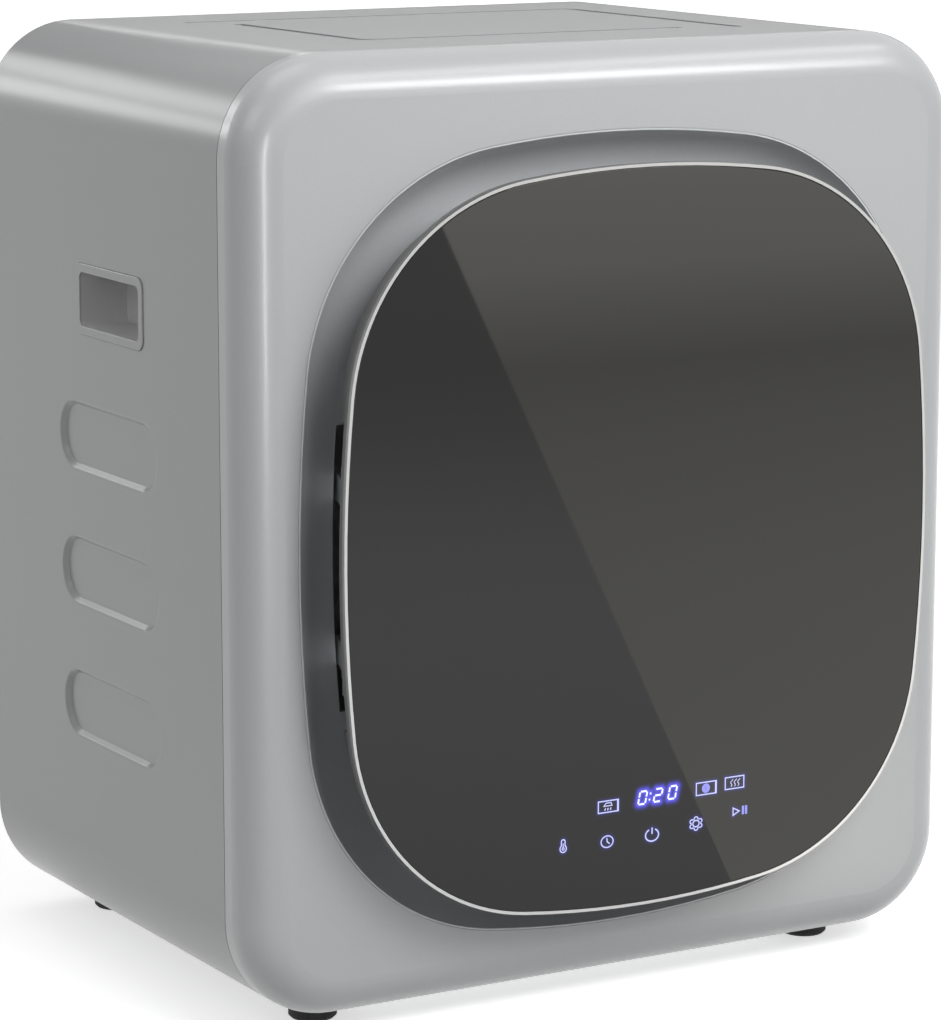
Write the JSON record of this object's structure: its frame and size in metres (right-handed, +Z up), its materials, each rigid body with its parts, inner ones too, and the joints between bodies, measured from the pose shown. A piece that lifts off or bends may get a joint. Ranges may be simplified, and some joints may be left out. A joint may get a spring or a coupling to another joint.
{
  "type": "vented tumble dryer",
  "caption": "Compact vented tumble dryer with rounded silver cabinet, recessed smoked glass door, side grips, belt-driven drum and blower, and rear vent collar.",
  "frame": {"origin": "on the floor, at the centre of the overall box from door to vent collar", "axes": "+X to the right seen from the front, +Y from the door to the back, +Z up"},
  "size_m": [0.591, 0.494, 0.688],
  "materials": {
    "silver_sheet": "satin",
    "silver_moulding": "satin",
    "gunmetal_moulding": "satin",
    "smoked_glass": "polished",
    "chrome": "polished",
    "grey_moulding": "matte",
    "clear_glass": "polished",
    "black_rubber": "matte",
    "grey_rubber": "matte",
    "galvanised": "satin",
    "stainless": "brushed",
    "aluminium": "cast",
    "felt": "matte",
    "white_moulding": "matte",
    "black_moulding": "matte",
    "board": "matte",
    "bronze": "machined"
  },
  "bodies": {
    "cabinet": {"cabinet_wrap": "silver_sheet", "front_panel": "silver_moulding", "door_surround": "gunmetal_moulding", "front_bulkhead": "galvanised", "rear_bulkhead": "galvanised", "rear_panel": "galvanised", "base_pan": "galvanised", "foot_front_left": "black_rubber", "foot_front_right": "black_rubber", "foot_rear_left": "black_rubber", "foot_rear_right": "black_rubber", "foot_screws": "galvanised", "grip_cup_left": "silver_moulding", "grip_cup_right": "silver_moulding", "drum_felts": "felt", "bearing_bracket": "galvanised", "drum_bearing": "bronze", "blower_housing": "white_moulding", "exhaust_collar": "black_moulding", "motor_body": "galvanised", "motor_cradle": "galvanised", "run_capacitor": "aluminium", "drum_belt": "black_rubber", "fan_belt": "black_rubber", "heater_duct": "galvanised", "heater_core": "stainless", "heater_thermostat": "aluminium", "hinge_bracket": "galvanised", "hinge_pins": "stainless", "latch_magnet": "black_moulding", "door_switch": "white_moulding", "control_box": "grey_moulding", "cord_gland": "black_rubber", "panel_screws": "galvanised", "idler_spring": "galvanised"},
    "door": {"door_glass": "smoked_glass", "door_rim": "chrome", "door_frame": "grey_moulding", "door_inner": "grey_moulding", "door_bowl": "clear_glass", "door_seal": "grey_rubber", "touch_board": "board", "latch_keeper": "stainless", "hinge_knuckles": "galvanised"},
    "drum": {"drum_shell": "stainless", "drum_back": "stainless", "lifter_1": "white_moulding", "lifter_2": "white_moulding", "lifter_3": "white_moulding", "drum_spider": "galvanised", "drum_shaft": "stainless", "lint_screen": "white_moulding"},
    "motor_rotor": {"motor_shaft": "stainless", "motor_pulleys": "aluminium"},
    "fan": {"blower_wheel": "white_moulding", "fan_pulley": "white_moulding"},
    "tensioner_arm": {"idler_arm": "galvanised"},
    "tensioner_wheel": {"idler_pulley": "white_moulding"},
    "plunger": {"switch_plunger": "white_moulding"}
  },
  "joints": [
    {"name": "door_hinge", "type": "hinge", "parent": "cabinet", "child": "door", "pos_m": [-0.225, -0.227, 0.333], "axis": [0, 0, -1], "range_deg": [0, 120]},
    {"name": "drum_spin", "type": "hinge", "parent": "cabinet", "child": "drum", "pos_m": [0, -0.009, 0.338], "axis": [0, -1, 0], "continuous": true},
    {"name": "motor_spin", "type": "hinge", "parent": "cabinet", "child": "motor_rotor", "pos_m": [0.19, 0.091, 0.078], "axis": [0, -1, 0], "continuous": true},
    {"name": "fan_spin", "type": "hinge", "parent": "cabinet", "child": "fan", "pos_m": [0, 0.171, 0.338], "axis": [0, -1, 0], "continuous": true},
    {"name": "idler_swing", "type": "hinge", "parent": "cabinet", "child": "tensioner_arm", "pos_m": [0.095, 0.0105, 0.04], "axis": [0, 1, 0], "range_deg": [0, 8], "stiffness_Nm_per_rad": 2, "springref_deg": -5.73},
    {"name": "idler_spin", "type": "hinge", "parent": "tensioner_arm", "child": "tensioner_wheel", "pos_m": [0.135, 0.0005, 0.068], "axis": [0, -1, 0], "continuous": true},
    {"name": "switch_press", "type": "slide", "parent": "cabinet", "child": "plunger", "axis": [0, 1, 0], "range_m": [0, 0.003], "stiffness_N_per_m": 300, "springref_m": -0.002}
  ],
  "couplings": [
    {"joint": "motor_spin", "follows": "drum_spin", "ratio": 23.212},
    {"joint": "fan_spin", "follows": "drum_spin", "ratio": 18.498},
    {"joint": "idler_spin", "follows": "drum_spin", "ratio": -15.675}
  ]
}
